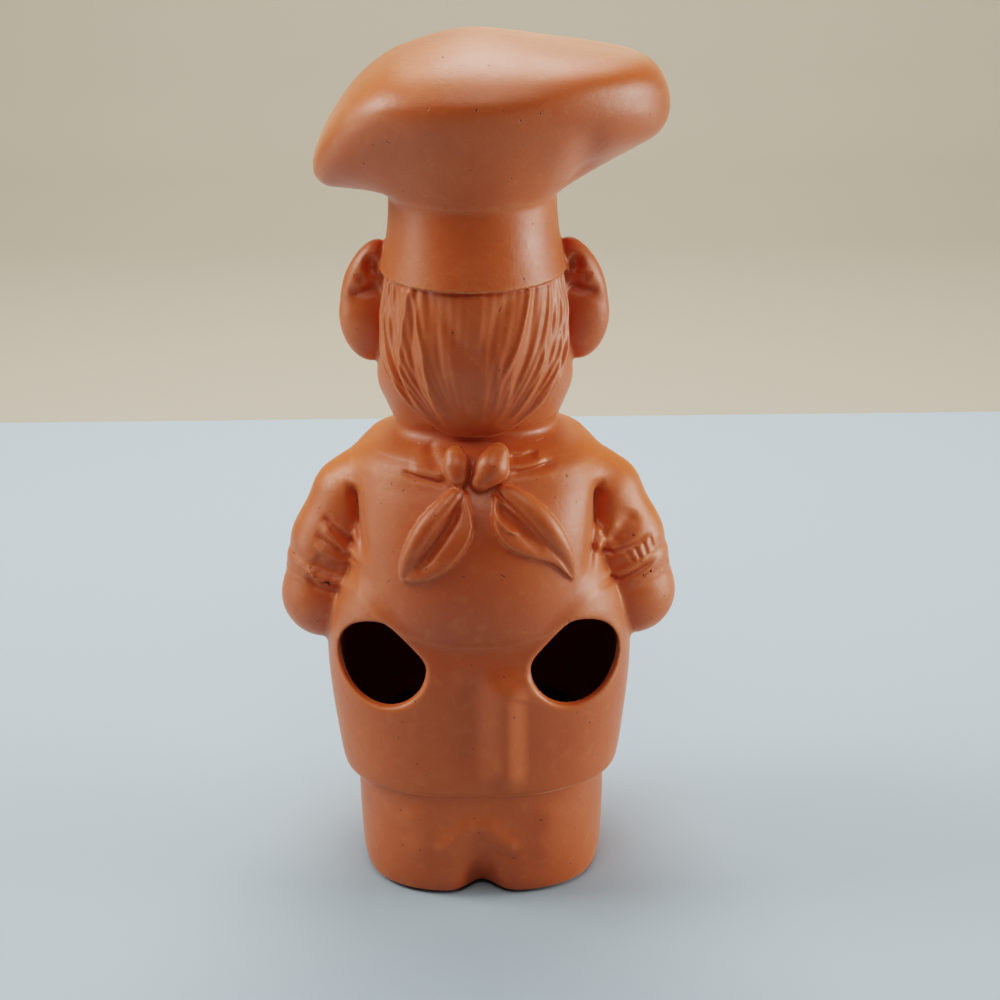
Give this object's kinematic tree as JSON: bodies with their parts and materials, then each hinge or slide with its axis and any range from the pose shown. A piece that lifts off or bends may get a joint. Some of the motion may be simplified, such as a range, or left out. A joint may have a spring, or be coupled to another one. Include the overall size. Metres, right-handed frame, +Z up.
{
  "type": "terracotta chef figurine",
  "caption": "Hollow unglazed terracotta figurine of a chef in a leaning puffed hat, with two round openings low on its back.",
  "frame": {"origin": "centre of the underside of the base slab, on the surface the figure stands on", "axes": "+Z up, the face looks along -Y, +X is the figure's own left"},
  "size_m": [0.1154, 0.093, 0.2496],
  "materials": {
    "clay": "unglazed terracotta with a soft satin sheen"
  },
  "bodies": {
    "root": {"base_slab": "clay", "trousers_shell": "clay", "left_shoe": "clay", "right_shoe": "clay", "skirt_shell": "clay", "torso_shell": "clay", "left_sleeve": "clay", "right_sleeve": "clay", "left_cuff": "clay", "right_cuff": "clay", "left_forearm": "clay", "right_forearm": "clay", "head_shell": "clay", "hair_back": "clay", "left_ear": "clay", "right_ear": "clay", "nose": "clay", "moustache": "clay", "left_eye": "clay", "right_eye": "clay", "left_brow": "clay", "right_brow": "clay", "hat_band": "clay", "hat_crown": "clay", "kerchief_collar": "clay", "kerchief_bib": "clay", "kerchief_knot": "clay", "kerchief_tail_left": "clay", "kerchief_tail_right": "clay", "button_left_1": "clay", "button_right_1": "clay", "button_left_2": "clay", "button_right_2": "clay", "button_left_3": "clay", "button_right_3": "clay", "button_left_4": "clay", "button_right_4": "clay"}
  },
  "joints": []
}
